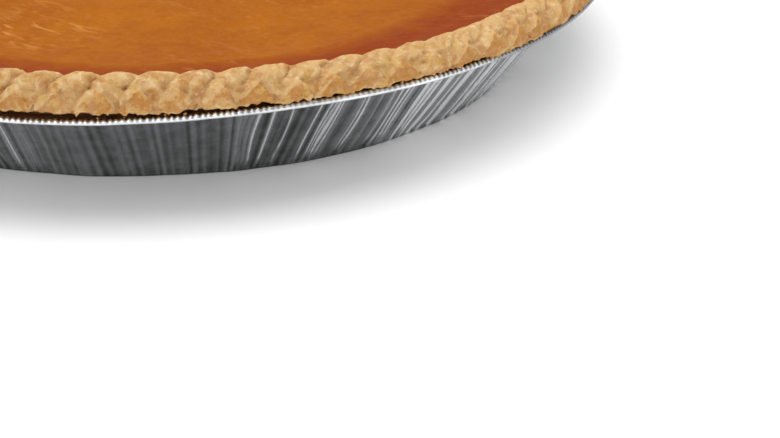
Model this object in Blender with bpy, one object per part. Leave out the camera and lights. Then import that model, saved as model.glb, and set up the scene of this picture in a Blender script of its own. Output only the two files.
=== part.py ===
"""A whole pumpkin pie, 12 inches across, in the pressed foil tin it is baked and sold in.

Units are metres and +Z is up. The origin is the middle of the tin's underside. Every piece is a body of
rings round the +Z axis: its profile runs from the middle of the underside, out and up the outer side,
over the rim and back in to the middle of the top.
"""

import math
import random

import bmesh
import bpy

MM = 0.001
GAP = 0.3 * MM  # the clearance kept between touching pieces

# The foil tin
FOIL = 0.6 * MM
TIN_BASE_RADIUS = 119.8 * MM
TIN_WALL_HEIGHT = 29.9 * MM
TIN_WALL_SPREAD = 23.6 * MM  # how far the wall leans out over its height
TIN_BEAD_RADIUS = 1.1 * MM
TIN_BEAD_CENTRE = 149.2 * MM
TIN_BEAD_TURNS = (-100, -30, 30, 100, 190)  # degrees round the bead's section from its outermost point
TIN_FLUTES = 82
TIN_FLUTE_DEPTH = 0.5 * MM
TIN_FOOT = 1.1 * MM  # the small slant between the base and the wall

# The soft rim is bent down over one stretch, and the pastry above it sags a little with it
RIM_DROOP = 2.3 * MM
DROOP_ANGLE = math.radians(-103)
DROOP_REACH = math.radians(38)
PASTRY_DROOP_SHARE = 0.45

# The crest of the pastry has settled over another stretch
CREST_DIP = 1.2 * MM
DIP_ANGLE = math.radians(-56)
DIP_REACH = math.radians(36)

# The pastry shell
PASTRY = 4.0 * MM
WALL_SLACK = 0.05 * MM  # clearance from the tin's wall beyond GAP, for the flat faces between its flutes
FLANGE_COVER = 1.1 * MM  # how far above the tin's wall the pastry turns out over it
CREST_RADIUS = 144.3 * MM
CREST_HEIGHT = 42.2 * MM
EDGE_RADIUS = 148.7 * MM
EDGE_HEIGHT = 32.5 * MM  # the ragged lower edge, just above the tin's bead

# Rings of the rim's outer slope, each so far out and so far up from its lower edge
UNDERSIDE = (-2.6 * MM, 0.0)
EDGE = (0.0, 0.0)
FACE = (0.6 * MM, 2.6 * MM)
BEND = (-0.7 * MM, 6.0 * MM)
SHOULDER = (-2.6 * MM, 8.4 * MM)

LOBES = 82
LOBE_PHASE = math.radians(-100.5)
COLUMNS_PER_LOBE = 4
FOLD_LEAN = 0.25  # the grooves between folds lean by this share of a fold across the upper slope
TOOTH = 1.3 * MM  # how far a tooth of the crimped edge stands out
FACET_STAND = 0.9 * MM  # how far the flat face of a tooth stands out, above the edge
DOME = 1.3 * MM  # how far a fold rises above the grooves beside it at the crest
SHOULDER_BULGE = 0.8 * MM  # how far a fold swells out and up at the shoulder
SHOULDER_DROP = 0.6 * MM  # how far the grooves lie below the shoulder
BEND_RISE = 0.4 * MM
UNEVEN = 0.22  # the share by which folds differ in size

# The filling
FILLING_RADIUS = 138.6 * MM
FILLING_MIDDLE = 27.0 * MM
FILLING_EDGE = 35.4 * MM
FILLING_RINGS = 7
FILLING_SLACK = 0.15 * MM  # clearance from the pastry beyond GAP, for the lean of its inner face
SLOW_RISE = 0.36  # this share of the filling's rise is slow, over the radii from SLOW_START to SLOW_END
SLOW_START, SLOW_END = 0.5, 0.9  # shares of the filling's radius
STEEP_START = 0.8  # the rest of the rise is steep, from this share of the radius outward

COARSE = LOBES  # columns of the plain rings
FINE = LOBES * COLUMNS_PER_LOBE  # columns of the rings that carry the folds


def smooth(t):
    """Smoothstep from 0 to 1."""
    t = min(max(t, 0.0), 1.0)
    return t * t * (3 - 2 * t)


def add_ring(mesh, count, place):
    """A ring of count vertices. place(angle) gives the radius and the height there."""
    ring = []
    for column in range(count):
        angle = LOBE_PHASE + 2 * math.pi * column / count
        radius, height = place(angle)
        ring.append(mesh.verts.new((radius * math.cos(angle), radius * math.sin(angle), height)))
    return ring


def join_rings(mesh, first, second):
    """Faces between two rings. One may have a whole number of times as many columns as the other."""
    if len(first) > len(second):
        join_rings(mesh, second, first)
        return
    share = len(second) // len(first)
    for column, corner in enumerate(first):
        following = first[(column + 1) % len(first)]
        start = column * share
        fan = [second[(start + step) % len(second)] for step in range(share + 1)]
        if share == 1:
            mesh.faces.new((corner, following, fan[1], fan[0]))
            continue
        middle = share // 2
        for step in range(share):
            near = corner if step < middle else following
            mesh.faces.new((near, fan[step + 1], fan[step]))
        mesh.faces.new((corner, following, fan[middle]))


def join_middle(mesh, ring, height):
    """A fan that closes a ring at the axis."""
    middle = mesh.verts.new((0, 0, height))
    for column, corner in enumerate(ring):
        mesh.faces.new((corner, ring[(column + 1) % len(ring)], middle))


def turned_body(name, bottom, rings, top, material):
    """The closed body of rings, each a (count, place) pair, between the bottom and the top of the axis."""
    mesh = bmesh.new()
    made = [add_ring(mesh, count, place) for count, place in rings]
    join_middle(mesh, made[0], bottom)
    for first, second in zip(made, made[1:]):
        join_rings(mesh, first, second)
    join_middle(mesh, made[-1], top)
    bmesh.ops.recalc_face_normals(mesh, faces=mesh.faces)
    data = bpy.data.meshes.new(name)
    mesh.to_mesh(data)
    mesh.free()
    data.shade_smooth()
    data.set_sharp_from_angle(angle=math.radians(50))
    data.materials.append(material)
    body = bpy.data.objects.new(name, data)
    bpy.context.scene.collection.objects.link(body)
    return body


def plain_material(name, colour, roughness, metallic):
    material = bpy.data.materials.new(name)
    material.use_nodes = True
    shader = material.node_tree.nodes["Principled BSDF"]
    shader.inputs["Base Color"].default_value = (*colour, 1)
    shader.inputs["Roughness"].default_value = roughness
    shader.inputs["Metallic"].default_value = metallic
    return material


def level(radius, height):
    """A plain round ring."""
    return lambda angle: (radius, height)


def tin_wall_radius(height):
    """The radius of the inner face of the tin's wall."""
    return TIN_BASE_RADIUS - FOIL + TIN_WALL_SPREAD * height / TIN_WALL_HEIGHT


def nearness(angle, middle, reach):
    """1 at the angle middle, falling smoothly to 0 at reach from it."""
    away = abs((angle - middle + math.pi) % (2 * math.pi) - math.pi)
    return smooth(1 - away / reach)


def droop(angle):
    """How far the tin's rim is bent down at an angle."""
    return RIM_DROOP * nearness(angle, DROOP_ANGLE, DROOP_REACH)


def make_tin():
    def fluted(radius, height):
        """A ring of the wall: it stands out at each flute and meets the nominal face between them."""

        def place(angle):
            wave = 0.5 - 0.5 * math.cos(TIN_FLUTES * (angle - LOBE_PHASE))
            return radius + TIN_FLUTE_DEPTH * wave, height - droop(angle) * height / TIN_WALL_HEIGHT

        return place

    def bead(turn):
        """A ring of the rolled bead, turn degrees round its section from the outermost point."""
        across = math.cos(math.radians(turn))
        up = math.sin(math.radians(turn))
        height = TIN_WALL_HEIGHT + (1 + up) * TIN_BEAD_RADIUS
        return lambda angle: (TIN_BEAD_CENTRE + across * TIN_BEAD_RADIUS, height - droop(angle))

    wall_top = TIN_BASE_RADIUS + TIN_WALL_SPREAD
    places = [
        level(TIN_BASE_RADIUS, 0),
        fluted(TIN_BASE_RADIUS + TIN_FOOT, TIN_FOOT),
        fluted(wall_top, TIN_WALL_HEIGHT),
        *[bead(turn) for turn in TIN_BEAD_TURNS],
        fluted(wall_top - FOIL, TIN_WALL_HEIGHT + FOIL),
        fluted(tin_wall_radius(FOIL), FOIL),
    ]
    rings = [(2 * TIN_FLUTES, place) for place in places]
    foil = plain_material("foil", (0.62, 0.62, 0.63), 0.32, 1.0)
    turned_body("foil_tin", 0, rings, FOIL, foil)


def lobe_sizes():
    """The size of each fold against the usual one."""
    chance = random.Random(12)
    return [1 + UNEVEN * chance.uniform(-1, 1) for _ in range(LOBES)]


def make_crust():
    sizes = lobe_sizes()

    def lobe_at(angle):
        """The share of the way through a fold, from dip to dip, and that fold's size."""
        turn = (angle - LOBE_PHASE) / (2 * math.pi) * LOBES
        return turn % 1.0, sizes[int(turn + 1e-6) % LOBES]

    def folded(ring, stand_out, rise, lean=0.0):
        """A ring of the outer slope that carries the folds. stand_out and rise, in millimetres, are given
        from the share of the way through a fold."""
        radius, height = EDGE_RADIUS + ring[0], EDGE_HEIGHT + ring[1]
        way_up = ring[1] / (CREST_HEIGHT - EDGE_HEIGHT)

        def place(angle):
            share, size = lobe_at(angle + lean * 2 * math.pi / LOBES)
            sag = PASTRY_DROOP_SHARE * (1 - way_up) * droop(angle)
            sag += way_up * CREST_DIP * nearness(angle, DIP_ANGLE, DIP_REACH)
            return radius + size * stand_out(share), height + size * rise(share) - sag

        return place

    def tooth(share):
        """1 over a tooth, which stands under the groove between two folds, and 0 in the notch beside it."""
        return smooth(abs(share - 0.5) / 0.25)

    def facet(share):
        """The flat face of a tooth, narrower than its foot."""
        return abs(2 * share - 1) ** 2

    def dome(share):
        return math.sin(math.pi * share) ** 0.6 if 0 < share < 1 else 0.0

    def none(share):
        return 0.0

    wall_clear = GAP / math.cos(math.atan(TIN_WALL_SPREAD / TIN_WALL_HEIGHT)) + WALL_SLACK
    floor = FOIL + GAP
    crest = (CREST_RADIUS - EDGE_RADIUS, CREST_HEIGHT - DOME - EDGE_HEIGHT)
    rings = [
        (COARSE, level(tin_wall_radius(floor) - wall_clear, floor)),
        (COARSE, level(tin_wall_radius(TIN_WALL_HEIGHT) - wall_clear, TIN_WALL_HEIGHT + FLANGE_COVER)),
        (FINE, folded(UNDERSIDE, none, none)),
        (FINE, folded(EDGE, lambda s: TOOTH * tooth(s), none)),
        (FINE, folded(FACE, lambda s: FACET_STAND * facet(s), none)),
        (FINE, folded(BEND, none, lambda s: BEND_RISE * dome(s), FOLD_LEAN)),
        (FINE, folded(SHOULDER, lambda s: SHOULDER_BULGE * dome(s),
                      lambda s: SHOULDER_BULGE * dome(s) - SHOULDER_DROP, FOLD_LEAN / 2)),
        (FINE, folded(crest, none, lambda s: DOME * dome(s))),
        (COARSE, level(FILLING_RADIUS + GAP, FILLING_EDGE)),
        (COARSE, level(tin_wall_radius(floor) - PASTRY, floor + PASTRY)),
    ]
    pastry = plain_material("pastry", (0.60, 0.36, 0.17), 0.62, 0.0)
    turned_body("pie_crust", floor, rings, floor + PASTRY, pastry)


def make_filling():
    def surface_height(radius):
        """The baked top: flat over the middle, rising slowly and then steeply to the pastry."""
        share = radius / FILLING_RADIUS
        slow = SLOW_RISE * smooth((share - SLOW_START) / (SLOW_END - SLOW_START))
        steep = (1 - SLOW_RISE) * max(0.0, (share - STEEP_START) / (1 - STEEP_START)) ** 2
        return FILLING_MIDDLE + (FILLING_EDGE - FILLING_MIDDLE) * (slow + steep)

    floor = FOIL + GAP + PASTRY + GAP
    rings = [
        (COARSE, level(tin_wall_radius(FOIL) - PASTRY - GAP - FILLING_SLACK, floor)),
        (COARSE, level(FILLING_RADIUS - FILLING_SLACK, FILLING_EDGE)),
    ]
    for step in range(1, FILLING_RINGS + 1):
        radius = FILLING_RADIUS * (1 - (step / (FILLING_RINGS + 1)) ** 1.5)
        rings.append((COARSE, level(radius, surface_height(radius))))
    custard = plain_material("custard", (0.50, 0.16, 0.022), 0.35, 0.0)
    turned_body("pumpkin_filling", floor, rings, FILLING_MIDDLE, custard)


def clear_scene():
    for old in list(bpy.data.objects):
        bpy.data.objects.remove(old, do_unlink=True)


clear_scene()
make_tin()
make_crust()
make_filling()
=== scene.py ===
"""The looks of the pumpkin pie: its crimped pastry, its baked filling, its foil tin and the crumbs on it."""

import math

import bpy
import numpy as np
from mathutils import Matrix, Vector


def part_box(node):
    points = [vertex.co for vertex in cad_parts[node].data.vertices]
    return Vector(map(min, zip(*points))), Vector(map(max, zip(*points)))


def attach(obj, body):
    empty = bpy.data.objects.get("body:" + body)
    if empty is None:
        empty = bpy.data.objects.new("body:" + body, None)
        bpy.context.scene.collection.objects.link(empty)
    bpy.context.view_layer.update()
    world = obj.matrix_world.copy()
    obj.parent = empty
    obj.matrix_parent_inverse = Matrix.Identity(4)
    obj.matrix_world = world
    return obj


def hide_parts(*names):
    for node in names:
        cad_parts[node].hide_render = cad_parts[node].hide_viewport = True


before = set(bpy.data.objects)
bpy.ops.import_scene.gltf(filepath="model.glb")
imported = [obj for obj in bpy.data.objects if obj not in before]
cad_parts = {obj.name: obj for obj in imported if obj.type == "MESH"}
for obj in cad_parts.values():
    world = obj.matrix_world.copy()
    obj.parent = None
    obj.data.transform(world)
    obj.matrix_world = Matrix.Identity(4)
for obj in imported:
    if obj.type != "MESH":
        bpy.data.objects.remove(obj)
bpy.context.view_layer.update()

MM = 0.001
TAU = 2 * math.pi
BODY = "root"

# Sizes read from the frame, in millimetres
TIN_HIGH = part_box("foil_tin")[1] / MM
CRUST_LOW, CRUST_HIGH = (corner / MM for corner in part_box("pie_crust"))
FILLING_LOW, FILLING_HIGH = (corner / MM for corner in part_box("pumpkin_filling"))

# The crimped rim, in millimetres where nothing else is said
LOBES = 82                          # folds round the rim
LOBE_PHASE = math.radians(-100.5)   # where the first fold begins
LOBE_COLUMNS = 22                   # mesh columns in each fold
RIM_R = 146                         # a middle radius of the rim
PITCH = TAU * RIM_R / LOBES         # from one fold to the next
TOOTH = 1.2                         # how far the teeth of the lower edge stand out
TOOTH_APEX = 0.58                   # the s where a tooth's face ends at its top
PIT_PLACE = 0.57                    # the s of the small pits between folds
PRESSED_AT = math.radians(-30)      # the angle round which the folds are pressed sharpest
EDGE_R = CRUST_HIGH.x - TOOTH - 0.5
EDGE_Z = TIN_HIGH.z + 0.7

# The rim's features against s, which runs from 0 at the lower edge over 1 at the crest to 2 at the filling
GROOVE_TURN = (0, 0.12, 0.55, 1.0, 1.3, 2), (-0.64, -0.57, -0.33, 0.0, 0.14, 0.2)    # in folds
FOLD_DEPTH = (0.3, 0.5, 0.62, 0.8, 0.98, 1.12, 1.35, 1.7), (0, 0.4, 1.0, 1.2, 1.25, 0.7, 0.25, 0)
TOOTH_STAND = (0, 0.12, 0.35, 0.58), (1.0, 1.15, 0.95, 0.35)                         # in teeth
SCOOP_DEPTH = (0, 0.1, 0.3, 0.5, 0.68), (-0.3, -0.7, -1.2, -1.0, 0)
LUMP_SHARE = (0, 1, 1.3, 2), (1, 1, 0.7, 0.45)

# The filling, in millimetres
FILLING_FOOT = 119                  # its hidden lower edge
REDDER_FROM = 104.5                 # where its skin turns redder
CLEAREST_WISPS = (-33, -66, FILLING_LOW.z + 22)

# The tin's wall and rolled bead, in millimetres
WALL_R = 140                        # a middle radius of the wall
TIN_COLUMNS = 3780                  # mesh columns round the tin
BEAD = 1.1                          # the bead's radius
FOIL = 0.4                          # the foil's thickness
FLANGE = 2.0                        # the flat between the wall and the bead
FOOT_Z = 0.8                        # the height of the wall's wavy lower line

# The crumbs on the bead
CRUMBS = 34
CRUMB_RINGS, CRUMB_SIDES = 5, 7

# The studio, in metres and degrees
CAMERA_PLACE = (0.0777, -0.828, 0.297)
CAMERA_DOWN = 23.67                 # how far below level the camera looks
FLOOR_REACH = 6.0
FLOOR_GAP = 0.0003


# ---------------------------------------------------------------- numbers and noise


def smooth(t):
    """0 below 0, 1 above 1, and an even rise between."""
    t = np.clip(t, 0, 1)
    return t * t * (3 - 2 * t)


def lattice(x, y, z, seed):
    """A repeatable number from -1 to 1 at each whole-number place."""
    n = (x.astype(np.uint32) * np.uint32(374761393)) ^ (y.astype(np.uint32) * np.uint32(668265263))
    n = n ^ (z.astype(np.uint32) * np.uint32(2147483647)) ^ np.uint32(seed * 9781 + 17)
    n = (n ^ (n >> np.uint32(13))) * np.uint32(1274126177)
    n = n ^ (n >> np.uint32(16))
    n = n * np.uint32(2246822519)
    n = n ^ (n >> np.uint32(15))
    return (n & np.uint32(0xFFFFFF)) / 8388607.5 - 1


def grain(x, y, z, size, seed):
    """Smooth noise from -1 to 1, with lumps of about the given size."""
    px, py, pz = np.broadcast_arrays(x / size, y / size, z / size)
    ix, iy, iz = (np.floor(p).astype(np.int64) for p in (px, py, pz))
    fx, fy, fz = (smooth(p - i) for p, i in ((px, ix), (py, iy), (pz, iz)))
    total = 0
    for cx in (0, 1):
        wx = fx if cx else 1 - fx
        for cy in (0, 1):
            wy = fy if cy else 1 - fy
            for cz in (0, 1):
                wz = fz if cz else 1 - fz
                total = total + wx * wy * wz * lattice(ix + cx, iy + cy, iz + cz, seed)
    return total


def fractal(x, y, z, size, seed, layers=3):
    """Layers of grain, each half as large and half as strong as the one before."""
    total, share = 0, 1.0
    for layer in range(layers):
        total = total + share * grain(x, y, z, size / 2**layer, seed + layer)
        share *= 0.5
    return total


def ring_grain(around, radius, size, seed):
    """Noise from -1 to 1 along a ring, as one row."""
    return grain(radius * np.cos(around)[None, :], radius * np.sin(around)[None, :], 0, size, seed)


def near(around, middle, inner, outer):
    """1 within inner degrees of the angle middle, falling to 0 at outer degrees from it."""
    away = np.degrees(np.arccos(np.clip(np.cos(around - math.radians(middle)), -1, 1)))
    return (1 - smooth((away - inner) / (outer - inner)))[None, :]


def curve_through(points, places):
    """A Catmull-Rom curve through points: its points at places from 0 to len(points) - 1, and its normals."""
    points = np.array(points, float)
    padded = np.vstack([2 * points[0] - points[1], points, 2 * points[-1] - points[-2]])
    places = np.clip(np.asarray(places, float), 0, len(points) - 1)
    first = np.minimum(places.astype(int), len(points) - 2)
    t = (places - first)[:, None]
    a, b, c, d = (padded[first + k] for k in range(4))
    found = 0.5 * (2 * b + (c - a) * t + (2 * a - 5 * b + 4 * c - d) * t**2
                   + (3 * b - a - 3 * c + d) * t**3)
    slope = 0.5 * ((c - a) + 2 * (2 * a - 5 * b + 4 * c - d) * t + 3 * (3 * b - a - 3 * c + d) * t**2)
    slope /= np.linalg.norm(slope, axis=1)[:, None]
    normals = np.stack([slope[:, 1], -slope[:, 0]], axis=1)
    return found, normals


def node_points(node):
    """The points of a CAD node's mesh, in millimetres."""
    return np.array([v.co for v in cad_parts[node].data.vertices]) / MM


def ring_top(node, least_r, parts):
    """The CAD node's greatest height beyond the radius least_r, in parts sectors from the angle -pi on."""
    points = node_points(node)
    points = points[np.hypot(points[:, 0], points[:, 1]) > least_r]
    sector = np.floor((np.arctan2(points[:, 1], points[:, 0]) / TAU + 0.5) * parts).astype(int) % parts
    highest = np.zeros(parts)
    np.maximum.at(highest, sector, points[:, 2])
    return highest


def sag(highest, angle):
    """How far a ring lies below its highest place at each angle, from the heights of ring_top."""
    middles = (np.arange(len(highest)) + 0.5) / len(highest) * TAU - math.pi
    turned = (np.asarray(angle) + math.pi) % TAU - math.pi
    return highest.max() - np.interp(turned, middles, highest, period=TAU)


def tin_foot():
    """The radius of the tin's flat base."""
    points = node_points("foil_tin")
    base = points[points[:, 2] < 0.1]
    return np.hypot(base[:, 0], base[:, 1]).max()


WALL_FOOT = tin_foot()
WALL_TOP = TIN_HIGH.x - 2 * BEAD - 4.7
RIM_Z = TIN_HIGH.z - 2 * BEAD
WALL_START = 0.7                    # the wall's straight part begins this far out and RISE above the floor
RISE = 1.2
RIM_TOP = ring_top("foil_tin", WALL_TOP + 3, 120)
CREST_TOP = ring_top("pie_crust", FILLING_HIGH.x, 24)
PASTRY_SAG_SHARE = 0.5              # how much of the tin's sag the crust's lower edge follows


# ---------------------------------------------------------------- meshes


def add_piece(name, mesh, material):
    """An object of the mesh, which rides on the pie."""
    mesh.shade_smooth()
    mesh.materials.append(material)
    piece = bpy.data.objects.new(name, mesh)
    bpy.context.scene.collection.objects.link(piece)
    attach(piece, BODY)
    return piece


def with_rings(values, before, after):
    """Rows of values, with a plain row added for each number in before and in after."""
    columns = values.shape[1]
    return np.vstack([*(np.full(columns, value) for value in before), values,
                      *(np.full(columns, value) for value in after)])


def revolved(name, radius, height, angle, material, replaces, layers):
    """A closed body of rings. radius, height and angle are arrays of row by column, in millimetres; the
    first and the last row are closed at the axis. layers are values at each point, for the material."""
    rows, columns = radius.shape
    x, y = radius * np.cos(angle), radius * np.sin(angle)
    points = np.stack([x, y, height], axis=-1).reshape(-1, 3) * MM
    ends = np.array([[0, 0, height[0].mean()], [0, 0, height[-1].mean()]]) * MM
    points = np.vstack([points, ends])
    across = np.arange(columns)
    following = (across + 1) % columns
    faces = []
    for row in range(rows - 1):
        base = row * columns
        faces.append(np.stack([base + across, base + following,
                               base + columns + following, base + columns + across], axis=1))
    faces = np.vstack(faces).tolist()
    first_end, last_end = rows * columns, rows * columns + 1
    last = (rows - 1) * columns
    faces += np.stack([following, across, np.full(columns, first_end)], axis=1).tolist()
    faces += np.stack([last + across, last + following, np.full(columns, last_end)], axis=1).tolist()
    mesh = bpy.data.meshes.new(name)
    mesh.from_pydata(points.tolist(), [], faces)
    for key, values in layers.items():
        layer = mesh.attributes.new(key, "FLOAT", "POINT")
        layer.data.foreach_set("value", np.append(values.reshape(-1), [0, 0]).astype(np.float32))
    piece = add_piece(name, mesh, material)
    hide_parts(replaces)
    return piece


# ---------------------------------------------------------------- materials


class Nodes:
    """A short way to write a material's node tree."""

    def __init__(self, name):
        self.material = bpy.data.materials.new(name)
        self.material.use_nodes = True
        self.tree = self.material.node_tree
        self.shader = self.tree.nodes["Principled BSDF"]
        self.place = self.tree.nodes.new("ShaderNodeTexCoord").outputs["Object"]

    def link(self, value, socket):
        """Join a node's output to a socket, or set the socket to a number or a colour."""
        if isinstance(value, bpy.types.NodeSocket):
            self.tree.links.new(value, socket)
        elif isinstance(value, tuple) and len(value) == 3 and socket.type == "RGBA":
            socket.default_value = (*value, 1)
        else:
            socket.default_value = value

    def combine(self, kind, a, b, clamp=False):
        """Two values added, multiplied and so on."""
        node = self.tree.nodes.new("ShaderNodeMath")
        node.operation = kind
        node.use_clamp = clamp
        for socket, value in zip(node.inputs, (a, b)):
            self.link(value, socket)
        return node.outputs[0]

    def layer(self, name):
        """The values that the mesh carries under a name."""
        node = self.tree.nodes.new("ShaderNodeAttribute")
        node.attribute_name = name
        return node.outputs["Fac"]

    def stretched(self, scale, turned=0.0):
        """The place on the piece, turned about +Z by some degrees and then scaled."""
        turning = self.tree.nodes.new("ShaderNodeMapping")
        self.link(self.place, turning.inputs["Vector"])
        turning.inputs["Rotation"].default_value = (0, 0, math.radians(turned))
        scaling = self.tree.nodes.new("ShaderNodeMapping")
        self.link(turning.outputs[0], scaling.inputs["Vector"])
        scaling.inputs["Scale"].default_value = scale
        return scaling.outputs[0]

    def away(self, x, y, z):
        """The distance in millimetres from a place on the piece."""
        node = self.tree.nodes.new("ShaderNodeVectorMath")
        node.operation = "DISTANCE"
        self.link(self.place, node.inputs[0])
        node.inputs[1].default_value = (x * MM, y * MM, z * MM)
        return self.combine("DIVIDE", node.outputs["Value"], MM)

    def noise(self, size, detail=2.0, roughness=0.5, place=None, distortion=0.0):
        """Noise from 0 to 1, with lumps of about size millimetres."""
        node = self.tree.nodes.new("ShaderNodeTexNoise")
        self.link(place or self.place, node.inputs["Vector"])
        node.inputs["Scale"].default_value = 1 / (size * MM)
        node.inputs["Detail"].default_value = detail
        node.inputs["Roughness"].default_value = roughness
        node.inputs["Distortion"].default_value = distortion
        return node.outputs["Fac"]

    def cells(self, size):
        """The distance to the nearest of points spread about size millimetres apart, in those sizes."""
        node = self.tree.nodes.new("ShaderNodeTexVoronoi")
        self.link(self.place, node.inputs["Vector"])
        node.inputs["Scale"].default_value = 1 / (size * MM)
        return node.outputs["Distance"]

    def span(self, value, low, high, to_low=0.0, to_high=1.0):
        """value, mapped from low..high to to_low..to_high and held within them."""
        node = self.tree.nodes.new("ShaderNodeMapRange")
        node.interpolation_type = "SMOOTHSTEP"
        for socket, number in zip(node.inputs, (value, low, high, to_low, to_high)):
            self.link(number, socket)
        return node.outputs[0]

    def mix(self, share, a, b):
        """Colour a where share is 0 and colour b where it is 1."""
        node = self.tree.nodes.new("ShaderNodeMix")
        node.data_type = "RGBA"
        self.link(share, node.inputs["Factor"])
        self.link(a, node.inputs[6])
        self.link(b, node.inputs[7])
        return node.outputs[2]

    def bump(self, height, depth, before=None):
        """Relief of depth millimetres from a height of 0 to 1."""
        node = self.tree.nodes.new("ShaderNodeBump")
        node.inputs["Strength"].default_value = 1
        node.inputs["Distance"].default_value = depth * MM
        self.link(height, node.inputs["Height"])
        if before is not None:
            self.link(before, node.inputs["Normal"])
        return node.outputs[0]

    def finish(self, **inputs):
        """Set the shader's inputs, and give back the material."""
        for key, value in inputs.items():
            self.link(value, self.shader.inputs[key.replace("_", " ")])
        return self.material


def pastry_material():
    """Pale to golden pastry, mottled, scorched in flecks and dusted with flour, with painted shade in its
    pits and creases and on its tooth faces, painted highlights on its ridges, and an underside painted bright
    so that the shaded gap under the torn edge reads lit.
    """
    n = Nodes("baked_pastry")
    pale, golden, brown = (0.655, 0.405, 0.172), (0.515, 0.235, 0.060), (0.33, 0.115, 0.027)
    pink, butter, flour = (0.50, 0.25, 0.105), (0.62, 0.385, 0.125), (0.76, 0.56, 0.30)
    painted_groove_shade, painted_gap_light = (0.28, 0.10, 0.03), (0.95, 0.45, 0.20)
    patches = n.noise(7, 2, 0.5)
    mottle = n.noise(2.6, 3, 0.55)
    fleck = n.noise(1.0, 3, 0.6)
    # the browning layer mixes real browning with painted shade on the tooth faces and in the pits and painted
    # highlights on the ridges
    browning_and_painted_light = n.combine("ADD", n.layer("browning_and_painted_light"), n.span(patches, 0.38, 0.66, -0.2, 0.45))
    browning_and_painted_light = n.combine("ADD", browning_and_painted_light, n.span(mottle, 0.38, 0.62, -0.4, 0.5), clamp=True)
    colour = n.mix(browning_and_painted_light, pale, golden)
    colour = n.mix(n.span(n.noise(3.6, 3, 0.6), 0.50, 0.64, 0, 0.8), colour, pink)
    colour = n.mix(n.span(n.noise(3.1, 3, 0.6), 0.52, 0.64, 0, 0.7), colour, butter)
    scorch = n.combine("MULTIPLY", n.span(fleck, 0.50, 0.70), n.span(browning_and_painted_light, 0.15, 0.9, 0.15, 0.65))
    colour = n.mix(scorch, colour, brown)
    powder = n.span(n.noise(2.0, 3, 0.6), 0.50, 0.68)
    dusted = n.combine("MULTIPLY", powder, n.span(browning_and_painted_light, 0.3, 0.9, 0.75, 0.2))
    colour = n.mix(dusted, colour, flour)
    # painted shade: the pits and creases between the folds are darkened
    colour = n.mix(n.combine("MULTIPLY", n.layer("groove"), 0.75), colour, painted_groove_shade)
    # painted light: the underside is painted a bright orange brown so that the shaded gap under the torn edge
    # reads lit
    colour = n.mix(n.layer("under"), colour, painted_gap_light)
    crumbly = n.bump(n.noise(1.0, 3, 0.65), 0.52)
    pores = n.bump(n.span(n.cells(1.6), 0.0, 0.35), 0.08, before=crumbly)
    return n.finish(Base_Color=colour, Roughness=0.68, Normal=pores, Specular_IOR_Level=0.12)


def custard_material():
    """Amber custard, redder at its edge, with pale wisps, specks of spice and small bubbles."""
    n = Nodes("baked_custard")
    amber, deep, rust = (0.405, 0.119, 0.0020), (0.350, 0.095, 0.0016), (0.262, 0.038, 0.0015)
    dull, warm, wispy = (0.32, 0.082, 0.0025), (0.48, 0.165, 0.010), (0.60, 0.27, 0.065)
    spice, bubbly = (0.17, 0.036, 0.004), (0.66, 0.32, 0.08)
    clouds = n.noise(30, 3, 0.5)
    ripples = n.noise(7, 3, 0.55, distortion=0.4)
    mottle = n.noise(1.8, 3, 0.6)
    edge = n.combine("ADD", n.layer("edge"), n.span(ripples, 0.3, 0.7, -0.1, 0.1), clamp=True)
    colour = n.mix(n.span(clouds, 0.35, 0.68), amber, deep)
    colour = n.mix(n.span(ripples, 0.48, 0.72, 0, 0.35), colour, dull)
    colour = n.mix(n.span(mottle, 0.45, 0.7, 0, 0.3), colour, warm)
    colour = n.mix(edge, colour, rust)
    # pale wisps lie in slanting streaks, most clearly in one patch at the front left
    streaks = n.noise(5.5, 3, 0.55, place=n.stretched((0.4, 1.3, 1), 38), distortion=1.4)
    gathered = n.span(n.noise(38, 1), 0.5, 0.62, 0, 0.4)
    wisps = n.combine("MULTIPLY", n.span(streaks, 0.56, 0.70, 0, 0.5), gathered)
    clearest = n.span(n.away(*CLEAREST_WISPS), 8, 30, 1, 0)
    clearest = n.combine("MULTIPLY", clearest, n.span(streaks, 0.50, 0.68, 0, 0.65))
    colour = n.mix(n.combine("MAXIMUM", wisps, clearest), colour, wispy)
    colour = n.mix(n.span(n.cells(2.4), 0.05, 0.14, 0.6, 0), colour, spice)
    colour = n.mix(n.span(n.cells(3.7), 0.03, 0.08, 0.4, 0), colour, bubbly)
    skin = n.bump(n.noise(1.3, 4, 0.6), 0.12)
    swell = n.bump(ripples, 0.25, before=skin)
    gloss = n.span(n.noise(3.0, 3, 0.6), 0.3, 0.7, 0.42, 0.55)
    return n.finish(Base_Color=colour, Roughness=gloss, Normal=swell, Specular_IOR_Level=0.03)


def foil_material():
    """Foil coloured dark, grey or bright by a layer of the mesh that paints in reflections, glints,
    highlights and shade.
    """
    n = Nodes("pressed_foil")
    dark, middling, bright = (0.044, 0.045, 0.045), (0.30, 0.305, 0.31), (0.92, 0.92, 0.93)
    painted_light_and_mottle = n.combine("ADD", n.layer("foil_tone_and_painted_light"), n.span(n.noise(5, 2, 0.5), 0.3, 0.7, -0.04, 0.04), clamp=True)
    colour = n.mix(n.span(painted_light_and_mottle, 0.0, 0.5), dark, middling)
    colour = n.mix(n.span(painted_light_and_mottle, 0.5, 1.0), colour, bright)
    smear = n.span(n.noise(9, 3, 0.6), 0.3, 0.7, 0.22, 0.32)
    crinkle = n.bump(n.noise(2.6, 2, 0.5), 0.05)
    return n.finish(Base_Color=colour, Metallic=1.0, Roughness=smear, Normal=crinkle)


# ---------------------------------------------------------------- the pastry


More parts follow.
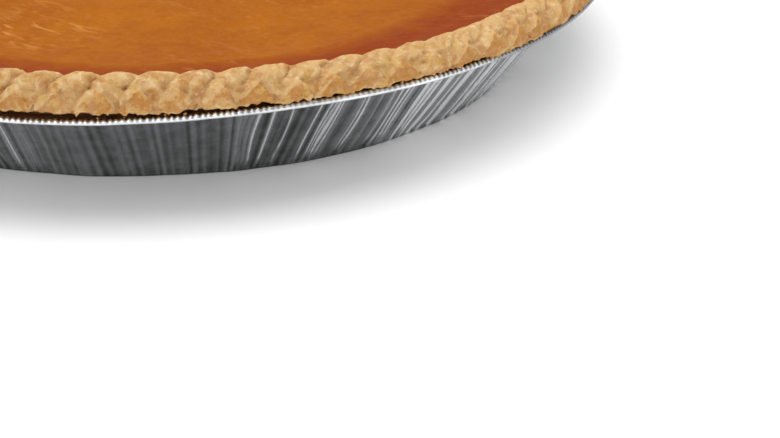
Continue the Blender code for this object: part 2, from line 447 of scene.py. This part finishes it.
def fold_relief(a, s, pressed, size, tilt, pitted):
    """The upper slope and the crest: a fold rises gently from its left groove and drops at its right one.

    Gives the relief in millimetres, and how far each place is in a pit and along a crease."""
    depth = np.interp(s, *FOLD_DEPTH) * (1 - 0.35 * pressed)
    fold = smooth(a / 0.42) ** 0.8 * smooth((1 - a) / (0.2 + tilt))
    relief = -depth * size * (1 - fold) + 0.3 * np.sin(np.pi * a) * depth
    crease = np.minimum(a / 0.9, 1 - a) * PITCH
    relief = relief - 0.4 * np.exp(-((crease / 0.35) ** 2)) * depth * size
    line = np.exp(-((crease / 0.45) ** 2)) * np.clip(depth / 1.6, 0, 1)
    from_groove = (np.minimum(a, 1 - a) * PITCH) / (1.1 + 0.5 * pitted)
    pit = np.exp(-(from_groove**2) - ((s - PIT_PLACE - tilt) / 0.06) ** 2)
    pit = pit * np.clip(0.7 + 0.7 * pitted, 0, 2) * (1 - 0.6 * pressed)
    return relief - 1.1 * pit, pit, line


def tooth_relief(a, u, s, pressed, size, tilt, swing):
    """The lower slope: the triangular face of a tooth, the lip on its left and the scoop on its right.

    Gives the relief in millimetres, and how far each place is on a face and on the ridges beside it."""
    apex = TOOTH_APEX + tilt
    reach = (apex - s) / 0.45
    left = u - (0.05 + swing - 0.60 * reach)
    right = (0.05 + swing + (0.42 - swing) * reach) - u
    face = smooth(left / 0.05) * smooth(right / 0.06) * smooth((apex + 0.03 - s) / 0.05)
    lip = smooth(a / 0.08) * (1 - smooth(left / 0.05)) * smooth((0.64 - s) / 0.1)
    scoop = 1 - np.clip(face + lip, 0, 1)
    stand = np.interp(s, *TOOTH_STAND) * TOOTH * size * (1 + 0.25 * pressed)
    ridge = np.exp(-((left * PITCH / 0.5) ** 2)) + 0.6 * np.exp(-((right * PITCH / 0.5) ** 2))
    ridge = ridge * smooth(reach * 4) * smooth((s - 0.03) / 0.08)
    relief = stand * face + 0.6 * lip * size + np.interp(s, *SCOOP_DEPTH) * scoop + 0.45 * ridge
    return relief, face, ridge


def rim_relief(turn, s, pressed, chance):
    """The relief of the rim in millimetres, with how brown each place is painted, which mixes real browning
    with painted shade on the tooth faces and in the pits and painted highlights on the ridges beside the
    faces, and how much painted shade each place gets in its pits and creases.

    turn counts folds round the rim, and s runs from 0 at the lower edge over 1 at the crest to 2 at the
    filling. Each fold leans: its left groove runs from the crest down and back, then bounds the triangular
    face of the tooth below it. Where pressed is 1, the faces are sharp and the grooves above them faint."""
    groove = np.interp(s, *GROOVE_TURN) + 0.07 * grain(turn, s * 3, 0, 0.5, 5)
    strand = np.floor(turn - groove)
    a = turn - groove - strand      # across a fold, from 0 at its left groove to 1 at its right one
    u = a + groove                  # the same, straight down from the crest
    own = {key: values[strand.astype(int) % LOBES] for key, values in chance.items()}
    size = 1 + 0.3 * own["size"]
    tilt = 0.07 * own["tilt"]
    upper, pit, line = fold_relief(a, s, pressed, size, tilt, own["pit"])
    lower, face, ridge = tooth_relief(a, u, s, pressed, size, tilt, 0.12 * own["swing"])
    high = smooth((s - 0.46) / 0.16)
    relief = upper * high + lower * (1 - high)
    # the tooth faces are painted browner, partly as painted shade, the ridges beside them paler as a painted
    # highlight, and the pits darker as painted shade
    tan = (0.55 + 0.45 * pressed) * (1 + 0.3 * own["tan"])
    browning_and_painted_light = tan * face * (1 - high) - 0.8 * ridge * (1 - high) - 0.25 * pressed * (1 - face)
    browning_and_painted_light = browning_and_painted_light + 0.25 * pit + 0.12 * own["tan"] - 0.5 * np.exp(-((s / 0.05) ** 2))
    # the last value is painted shade for the pits and creases
    return relief, browning_and_painted_light, np.clip(0.75 * pit + 0.35 * line, 0, 1)


def rim_outline():
    """The rim's rows: s, and how far out and up from the lower edge each lies, with its normal."""
    points = [(-3.0, 0.0), (-1.0, -0.2), (0.0, 0.2), (0.6, 2.2), (0.3, 4.4), (-0.9, 6.5), (-2.6, 8.3),
              (-4.6, 9.2), (-6.6, 8.3), (-8.1, 6.6), (-9.3, 4.8), (-10.1, 3.0), (-10.4, 1.4)]
    lower, crest, last = 2, 7, len(points) - 1
    knots = [-0.3, -0.1, 0.0] + [(k - lower) / (crest - lower) for k in range(lower + 1, crest + 1)]
    knots += [1 + (k - crest) / (last - crest) for k in range(crest + 1, last + 1)]
    s = np.concatenate([[-0.3, -0.15, -0.06], np.linspace(0, 1.1, 36), np.linspace(1.14, 2, 10)])
    found, normals = curve_through(points, np.interp(s, knots, np.arange(len(points))))
    return [column[:, None] for column in (s, *found.T, *normals.T)]


def make_crust():
    """The pastry: its crimped rim, and the hidden shell under the filling."""
    columns = LOBES * LOBE_COLUMNS
    turn = np.arange(columns) / LOBE_COLUMNS
    around = LOBE_PHASE + TAU * turn / LOBES
    random = np.random.default_rng(7)
    chance = {key: random.uniform(-1, 1, LOBES) for key in ("size", "tilt", "swing", "pit", "tan")}

    def noise(size, seed):
        return ring_grain(around, RIM_R, size, seed)

    s_row, out, up, normal_out, normal_up = rim_outline()
    s = s_row + 0 * turn[None, :]
    pressed = smooth((np.cos(around - PRESSED_AT) - 0.6) / 0.35)[None, :]
    relief, browning_and_painted_light, groove_shade_share = rim_relief(turn[None, :] + 0 * s, s, pressed, chance)
    shown = smooth((s + 0.12) / 0.12)
    place = RIM_R * np.cos(around)[None, :], RIM_R * np.sin(around)[None, :], up * 1.3 + out * 0.4
    lumps = 0.3 * fractal(*place, 4.5, 11) + 0.15 * fractal(*place, 1.3, 21, 2)
    relief = relief * shown + lumps * np.interp(s, *LUMP_SHARE)

    # the rim wanders a little in and out and up and down, and it has settled where the CAD's rim is low
    sway = 0.4 * noise(60, 31)
    lift = 0.3 * noise(45, 41)
    settled = PASTRY_SAG_SHARE * sag(RIM_TOP, around)[None, :] * (1 - smooth(s))
    settled = settled + sag(CREST_TOP, around)[None, :] * smooth(s) * smooth(2 - s)

    # the lower edge is torn: small teeth and now and then a longer flake
    edge = np.exp(-((s / 0.07) ** 2))
    torn = 0.5 * noise(0.9, 51) + 0.5 * noise(2.6, 52)
    torn = torn + 1.2 * np.minimum(0, noise(7, 54) + 0.1)
    flake = np.maximum(0, noise(1.4, 53) - 0.5) * 2.2
    radius = EDGE_R + out + normal_out * relief + sway * smooth(2 - s)
    height = EDGE_Z + up + normal_up * relief
    height = height + lift * smooth(1.6 - s) - edge * (torn + flake) - settled

    # the hidden shell: out across the tin's floor and up inside its wall, and down again behind the filling
    before = [(WALL_FOOT - 1.2, CRUST_LOW.z), (WALL_TOP - 3.1, RIM_Z - 1.2), (WALL_TOP - 0.5, RIM_Z + 1.2)]
    after = [(WALL_FOOT - 5, CRUST_LOW.z + 4)]
    radius = with_rings(radius, [r for r, _ in before], [r for r, _ in after])
    height = with_rings(height, [z for _, z in before], [z for _, z in after])
    top, soft = CRUST_HIGH.z, 0.6
    height = np.where(height > top - soft, top - soft * np.exp(-(height - top + soft) / soft), height)
    under = 1 - smooth((s + 0.17) / 0.12)
    # the layers carry browning with painted light, painted shade in the pits and creases, and the underside,
    # whose colour is painted light
    layers = {"browning_and_painted_light": with_rings(browning_and_painted_light * shown, [0] * len(before), [0] * len(after)),
              "groove": with_rings(groove_shade_share * shown, [0] * len(before), [0] * len(after)),
              "under": with_rings(under, [1] * len(before), [1] * len(after))}
    angle = np.broadcast_to(around, radius.shape)
    return revolved("crimped_crust", radius, height, angle, pastry_material(), "pie_crust", layers)


# ---------------------------------------------------------------- the filling


def cad_surface():
    """Radii and heights of the CAD filling's top, from the middle out."""
    points = node_points("pumpkin_filling")
    top = points[points[:, 2] > (FILLING_LOW.z + FILLING_HIGH.z) / 2]
    radii = np.hypot(top[:, 0], top[:, 1])
    order = np.argsort(radii)
    return radii[order], top[order, 2]


def make_filling():
    """The custard: the CAD's top with a gently uneven skin, over a plain cone that the pastry hides."""
    columns, rows = 640, 76
    around = TAU * np.arange(columns) / columns
    outer = FILLING_HIGH.x - 0.15
    share = np.linspace(1, 0.012, rows) ** 0.8
    r = (outer * share)[:, None] + 0 * around[None, :]
    x, y = r * np.cos(around), r * np.sin(around)
    z = np.interp(r, *cad_surface())
    settle = smooth((outer - r) / 2.5)
    z = z + settle * (0.35 * fractal(x, y, 0, 42, 61) + 0.10 * fractal(x, y, 0, 9, 71))
    # the skin is redder beyond a slight ridge, more sharply at the front than elsewhere
    front = near(around, -75, 50, 90)
    ragged = grain(x, y, 0, 26, 81) * (4 - 2.8 * front) + grain(x, y, 0, 6, 82)
    bound = REDDER_FROM + ragged
    z = z + 0.3 * (0.4 + 0.6 * front) * np.exp(-(((r - bound + 1) / 2.2) ** 2))
    step = smooth((r - bound) / (14 - 7 * front) + 0.45)
    edge = 0.16 * smooth((r - 65) / 30) + 0.56 * step + 0.28 * smooth((r - 106) / 12)
    radius = with_rings(r, [FILLING_FOOT], [])
    height = with_rings(z, [FILLING_LOW.z], [])
    angle = np.broadcast_to(around, radius.shape)
    layers = {"edge": np.vstack([edge[:1], edge])}
    return revolved("custard_filling", radius, height, angle, custard_material(),
                    "pumpkin_filling", layers)


# ---------------------------------------------------------------- the tin


def pleats(turn, count, seed, spread=0.8, least=0.25):
    """Straight-sided folds round the tin, of uneven width and height, from -1 to 1."""
    random = np.random.default_rng(seed)
    places = (np.arange(2 * count) + spread * random.uniform(-0.5, 0.5, 2 * count)) / (2 * count)
    heights = np.where(np.arange(2 * count) % 2, 1.0, -1.0) * random.uniform(least, 1.0, 2 * count)
    return np.interp(turn % 1.0, places, heights, period=1.0)


def strokes(turn, count, seed, width):
    """Thin lines at uneven places round the tin, from 0 between them up to 1 along the brightest."""
    random = np.random.default_rng(seed)
    places = np.sort(random.uniform(0, 1, count))
    strength = random.uniform(0.25, 1, count)
    turn = turn % 1.0
    after = np.searchsorted(places, turn)
    found = 0
    for index in (after - 1, after):
        away = (turn - places[index % count] + 0.5) % 1.0 - 0.5
        found = np.maximum(found, strength[index % count] * np.exp(-((away / width) ** 2)))
    return found


def tin_section():
    """The rows of the tin's section, from the middle of its underside out to the bead and back inside.

    Gives the radius, the height, the share of the wall's pleats and the share of the bead's dents of each
    row, and whether it is on the inner face."""
    rows = [(WALL_FOOT - 1.8, 0.0, 0.0, 0.0), (WALL_FOOT - 0.4, 0.05, 0.1, 0.0),
            (WALL_FOOT + 0.5, FOOT_Z, 0.5, 0.0)]
    wall_steps = 7
    for step in range(1, wall_steps + 1):
        t = step / wall_steps
        rows.append((WALL_FOOT + WALL_START + (WALL_TOP - WALL_FOOT - WALL_START) * t,
                     RISE + (RIM_Z - RISE) * t, 0.6 + 0.4 * t, 0.0))
    rows.append((WALL_TOP + FLANGE, RIM_Z + 0.3, 0.6, 0.0))
    bead_r, bead_z = TIN_HIGH.x - BEAD - 0.25, TIN_HIGH.z - BEAD - 0.2
    for degrees in range(-120, 181, 37):
        rad = math.radians(degrees)
        rows.append((bead_r + BEAD * math.cos(rad), bead_z + BEAD * math.sin(rad), 0.0,
                     min(max(0.25 + math.sin(rad), 0), 1)))
    outer_rows = len(rows)
    # the inner face stays within the deepest pleats
    rows += [(WALL_TOP + FLANGE, RIM_Z + 0.3 + FOIL, 0.0, 0.0), (WALL_TOP - FOIL - 1.5, RIM_Z, 0.0, 0.0),
             (WALL_FOOT - FOIL - 0.3, FOOT_Z, 0.0, 0.0), (WALL_FOOT - 2.0, FOIL, 0.0, 0.0)]
    inner = np.arange(len(rows)) >= outer_rows
    return [column[:, None] for column in (*np.array(rows).T, inner)]


def make_tin():
    """The foil tin: a pleated wall that leans out to a rolled bead with fine dents, with painted reflections,
    glints, highlights and shade in its colour.
    """
    turn = np.arange(TIN_COLUMNS)[None, :] / TIN_COLUMNS
    around = TAU * turn[0]

    def noise(size, seed):
        return ring_grain(around, WALL_R, size, seed)

    r, z, share, dent_share, inner = tin_section()
    level = np.clip(z / RIM_Z, 0, 1.1)

    # the pleats of the wall and the dents of the bead
    lean = 0.0035 * noise(26, 101) + 0.0006 * noise(8, 102)
    slanted = turn + lean * (1 - level)
    narrow = pleats(slanted, 250, 103) * (0.8 + 0.45 * noise(12, 110))
    broad = pleats(slanted + 0.002 * level, 96, 104)
    out = share * (0.42 * narrow + 0.36 * broad - 0.6)
    dots = pleats(turn, 540, 105, 0.5, 0.5)
    plain = 0.35 + 0.65 * smooth((noise(30, 116) + 0.45) / 0.5)
    dent = dent_share * (0.24 * dots * plain - 0.12)

    # the soft tin is a little out of round, more so at its foot, and bent down where the CAD's rim is
    wobble = 0.3 * noise(55, 107) * level**2 + 0.6 * noise(14, 112) * (1 - level)
    bent = 0.25 * noise(70, 108) + sag(RIM_TOP, around)[None, :]
    radius = np.where(inner, r, r + out + dent * 0.6) + wobble
    height = z - bent * level**2 + np.where(inner, 0, dent)
    foot = (z == FOOT_Z) & ~inner
    height = np.maximum(height + foot * 0.5 * (1 + noise(13, 109)), 0)
    angle = np.broadcast_to(around, radius.shape)

    # how bright each place looks, all painted into the foil's colour: the wall is painted dark for the shaded
    # floor it would reflect, and its pleats lighter and darker; a few of its folds carry painted glints along
    # their edges, more so away from the calm front; and one side carries a painted bright reflection all over
    calm = near(around, -90, 9, 17)
    # painted reflection: one side of the wall and its bands are painted bright all over
    bright = near(around, -18, 22, 42)
    gathered = np.maximum(smooth((noise(14, 113) + 0.2) / 0.6), near(around, -60, 12, 18))
    gathered = np.maximum(gathered, near(around, -104, 4, 8)) * (1 - 0.9 * calm)
    curved = slanted + 0.0016 * noise(5, 117) * np.sin(math.pi * np.clip(level, 0, 1))
    risen = smooth((level - 0.05) / 0.15)
    # painted glints: thin bright strokes along some folds, fewer at the calm front
    painted_glint = np.maximum(strokes(curved, 330, 111, 0.00045), 0.45 * strokes(curved, 120, 118, 0.0009))
    bands = smooth((pleats(curved, 170, 119) - 0.05) / 0.3)
    # painted reflection: the wall's dark colour stands in for the shaded floor it would reflect, darker
    # towards the bottom, and its pleats are painted lighter and darker
    on_wall = 0.18 + 0.03 * level + 0.13 * narrow + 0.10 * pleats(slanted + 0.1, 330, 114)
    on_wall = on_wall + 1.15 * painted_glint * gathered * risen
    on_wall = on_wall + 0.05 * calm + bright * (0.20 + 0.95 * bands)
    plain_bead = 0.88
    # painted highlights: the dents on the bead's top are painted bright between darker grey
    upper_bead = 0.72 + 0.5 * dots * plain
    on_bead = plain_bead + np.clip(dent_share * 2, 0, 1) * (upper_bead - plain_bead) + 0.1 * noise(9, 115)
    # painted shade: the bead is painted darker towards its right
    on_bead = on_bead * (1 - 0.6 * near(around, -15, 18, 40))
    foil_tone_and_painted_light = np.where(share > 0, on_wall, on_bead)
    foil_tone_and_painted_light = np.clip(np.where(inner, 0.5, foil_tone_and_painted_light), 0, 1)
    return revolved("pleated_tin", radius, height, angle, foil_material(), "foil_tin", {"foil_tone_and_painted_light": foil_tone_and_painted_light})


# ---------------------------------------------------------------- crumbs


def crumb(random, centre, radius):
    """The points of one rough crumb, ring by ring from its top down."""
    points = []
    for ring in range(CRUMB_RINGS):
        level = math.pi * (ring + 0.5) / CRUMB_RINGS
        for side in range(CRUMB_SIDES):
            turn = TAU * (side + 0.5 * (ring % 2)) / CRUMB_SIDES
            reach = radius * random.uniform(0.5, 1.3)
            way = np.array([math.sin(level) * math.cos(turn), math.sin(level) * math.sin(turn),
                            0.8 * math.cos(level)])
            points.append(centre + reach * way)
    return points


def make_crumbs(material):
    """Crumbs of pastry on the tin's rim under the crust's torn edge."""
    random = np.random.default_rng(23)
    sides = range(CRUMB_SIDES)
    points, faces = [], []
    for _ in range(CRUMBS):
        place = random.uniform(0, TAU)
        radius = random.uniform(0.2, 0.55)
        r = TIN_HIGH.x - 1.5 + random.uniform(-0.6, 0.5)
        rim = TIN_HIGH.z - float(sag(RIM_TOP, place))
        centre = np.array([r * math.cos(place), r * math.sin(place), rim - 0.3 + 0.3 * radius])
        first = len(points)
        last = first + (CRUMB_RINGS - 1) * CRUMB_SIDES
        points += crumb(random, centre, radius)
        for ring in range(first, last, CRUMB_SIDES):
            for side in sides:
                a, b = ring + side, ring + (side + 1) % CRUMB_SIDES
                faces.append((a, a + CRUMB_SIDES, b + CRUMB_SIDES, b))
        faces.append(tuple(first + side for side in sides))
        faces.append(tuple(last + side for side in reversed(sides)))
    mesh = bpy.data.meshes.new("rim_crumbs")
    mesh.from_pydata([tuple(point * MM) for point in points], [], faces)
    return add_piece("rim_crumbs", mesh, material)


# ---------------------------------------------------------------- the studio


def make_floor():
    """A plain pale floor just below the tin."""
    mesh = bpy.data.meshes.new("floor")
    a = FLOOR_REACH
    mesh.from_pydata([(-a, -a, 0), (a, -a, 0), (a, a, 0), (-a, a, 0)], [], [(0, 1, 2, 3)])
    n = Nodes("studio_floor")
    colour = n.mix(n.span(n.noise(400, 2, 0.5), 0.3, 0.7), (0.93, 0.93, 0.93), (0.90, 0.90, 0.905))
    material = n.finish(Base_Color=colour, Roughness=0.8, Emission_Color=(1, 1, 1), Emission_Strength=0.08)
    mesh.materials.append(material)
    floor = bpy.data.objects.new("floor", mesh)
    bpy.context.scene.collection.objects.link(floor)
    floor.location.z = -FLOOR_GAP


def add_light(name, place, aim, size, power):
    """A white rectangular light that shines at the place aim."""
    data = bpy.data.lights.new(name, "AREA")
    data.shape = "RECTANGLE"
    data.size, data.size_y = size
    data.energy = power
    light = bpy.data.objects.new(name, data)
    light.location = place
    light.rotation_euler = (Vector(aim) - Vector(place)).to_track_quat("-Z", "Y").to_euler()
    bpy.context.scene.collection.objects.link(light)


def make_studio():
    """The floor, three soft lights and an even white surround."""
    make_floor()
    add_light("key", (0.3, 0.3, 1.35), (0, 0, 0), (1.4, 1.2), 11)
    add_light("overhead", (-0.2, 0.1, 1.5), (0, 0, 0.02), (1.2, 1.2), 4)
    add_light("front", (-0.3, -1.7, 1.0), (0, 0, 0), (1.4, 0.8), 6)
    world = bpy.data.worlds.new("studio")
    world.use_nodes = True
    background = world.node_tree.nodes["Background"]
    background.inputs["Color"].default_value = (1, 1, 1, 1)
    background.inputs["Strength"].default_value = 0.66
    scene = bpy.context.scene
    scene.world = world
    scene.view_settings.view_transform = "Standard"


def make_camera():
    data = bpy.data.cameras.new("camera")
    data.sensor_width = 36
    data.lens = 120
    camera = bpy.data.objects.new("camera", data)
    camera.location = CAMERA_PLACE
    camera.rotation_euler = (math.radians(90 - CAMERA_DOWN), 0, 0)
    bpy.context.scene.collection.objects.link(camera)
    bpy.context.scene.camera = camera


crust = make_crust()
make_filling()
make_tin()
make_crumbs(crust.data.materials[0])
make_studio()
make_camera()
